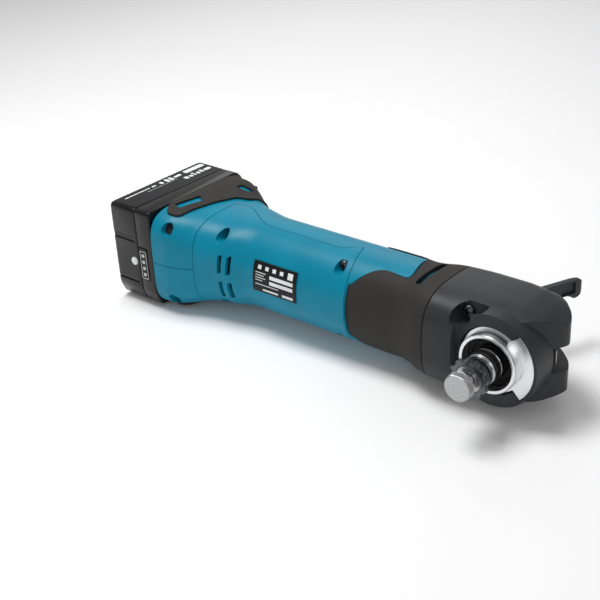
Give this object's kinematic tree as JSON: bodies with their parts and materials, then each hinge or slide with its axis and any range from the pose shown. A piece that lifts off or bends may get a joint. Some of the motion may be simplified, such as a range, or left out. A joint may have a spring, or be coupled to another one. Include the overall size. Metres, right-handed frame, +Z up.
{
  "type": "oscillating multi tool",
  "caption": "Cordless oscillating multi tool with slide-on battery, rubber-covered barrel, angled gear head, quick-clamp lever and keyed holder bolt, lying on its side.",
  "frame": {"origin": "centre of the bottom face of the bounding box, with the tool lying on its left side and its lever open", "axes": "+X along the barrel towards the gear head, +Y from the spindle side to the lever side, +Z up out of the right side"},
  "size_m": [0.345, 0.155, 0.0782],
  "materials": {
    "painted": "satin",
    "charcoal": "satin",
    "rubber": "matte",
    "pack_black": "gloss",
    "inner_black": "matte",
    "bright": "machined",
    "steel": "ground",
    "dark_steel": "blackened steel",
    "cast": "as cast",
    "copper": "enamelled copper wire",
    "lamination": "stacked laminations",
    "board": "circuit board",
    "cell_wrap": "shrink film",
    "white": "satin",
    "label": "printed film",
    "seal": "matte"
  },
  "bodies": {
    "tool_body": {"housing_right": "painted", "housing_left": "painted", "motor_cover": "painted", "head_cover": "charcoal", "rear_bumper": "rubber", "top_grip": "rubber", "front_grip": "rubber", "motor_end_frame": "inner_black", "power_switch": "inner_black", "rail_frame": "inner_black", "terminal_block": "inner_black", "bearing_box": "bright", "lever_pin": "steel", "rocker_pin": "steel", "lever_catch": "steel", "spindle_bearing_lower": "steel", "spindle_bearing_upper": "steel", "motor_bearing_rear": "steel", "motor_bearing_front": "steel", "cover_screw_1": "dark_steel", "cover_screw_2": "dark_steel", "cover_screw_3": "dark_steel", "cover_screw_4": "dark_steel", "head_screw_1": "dark_steel", "head_screw_2": "dark_steel", "gear_housing": "cast", "controller": "cast", "winding_rear": "copper", "winding_front": "copper", "stator": "lamination", "sensor_board": "board", "dial_sensor": "board", "nameplate": "label", "dust_seal": "seal"},
    "lever_arm": {"lever": "charcoal"},
    "rocker": {"release_rocker": "dark_steel"},
    "rod": {"clamp_rod": "steel"},
    "spindle_set": {"spindle": "steel", "spindle_o_ring": "seal", "clamp_flange": "steel", "fork": "dark_steel", "clamp_spring": "steel"},
    "bolt": {"holder_bolt": "steel"},
    "rotor": {"motor_shaft": "steel", "rotor_core": "dark_steel", "fan": "inner_black", "eccentric_bearing": "steel"},
    "switch_slide": {"slide_button": "charcoal", "switch_link": "white"},
    "dial": {"speed_dial": "charcoal", "dial_shaft": "steel"},
    "battery": {"battery_tray": "pack_black", "battery_lid": "pack_black", "latch_spring": "steel", "battery_board": "board", "charge_gauge": "label", "cell_row_1": "cell_wrap", "cell_row_2": "cell_wrap"},
    "latch": {"battery_latch": "charcoal"},
    "gauge_button": {"check_button": "white"}
  },
  "joints": [
    {"name": "lever_swing", "type": "hinge", "parent": "tool_body", "child": "lever_arm", "pos_m": [0.103, 0.01581, 0.03909], "axis": [0, 0, 1], "range_deg": [0, 103]},
    {"name": "rocker_swing", "type": "hinge", "parent": "tool_body", "child": "rocker", "pos_m": [0.1235, 0.00741, 0.03909], "axis": [0, 0, 1], "range_deg": [0, 8]},
    {"name": "clamp_rod_slide", "type": "slide", "parent": "tool_body", "child": "rod", "axis": [0, 1, 0], "range_m": [0, 0.002]},
    {"name": "spindle_oscillation", "type": "hinge", "parent": "tool_body", "child": "spindle_set", "pos_m": [0.1375, -0.03119, 0.03909], "axis": [0, 1, 0], "range_deg": [-1.6, 1.6]},
    {"name": "bolt_slide", "type": "slide", "parent": "spindle_set", "child": "bolt", "axis": [0, -1, 0], "range_m": [-0.005, 0.05]},
    {"name": "motor_spin", "type": "hinge", "parent": "tool_body", "child": "rotor", "pos_m": [-0.0125, -0.01119, 0.03909], "axis": [1, 0, 0], "continuous": true},
    {"name": "switch_travel", "type": "slide", "parent": "tool_body", "child": "switch_slide", "axis": [1, 0, 0], "range_m": [0, 0.006]},
    {"name": "speed_dial_turn", "type": "hinge", "parent": "tool_body", "child": "dial", "pos_m": [-0.0885, 0.01581, 0.03909], "axis": [0, 0, 1], "range_deg": [0, 270]},
    {"name": "battery_slide", "type": "slide", "parent": "tool_body", "child": "battery", "axis": [0, 1, 0], "range_m": [0, 0.11]},
    {"name": "latch_press", "type": "slide", "parent": "battery", "child": "latch", "axis": [-1, 0, 0], "range_m": [0, 0.0028], "stiffness_N_per_m": 400, "springref_m": -0.002, "deforming": ["latch_spring"]},
    {"name": "gauge_button_press", "type": "slide", "parent": "battery", "child": "gauge_button", "axis": [0, 1, 0], "range_m": [0, 0.0008], "stiffness_N_per_m": 300, "springref_m": -0.0005}
  ],
  "couplings": [
    {"joint": "rocker_swing", "follows": "lever_swing", "ratio": 0.07612},
    {"joint": "clamp_rod_slide", "follows": "lever_swing", "m_per_rad": 0.0010903}
  ]
}
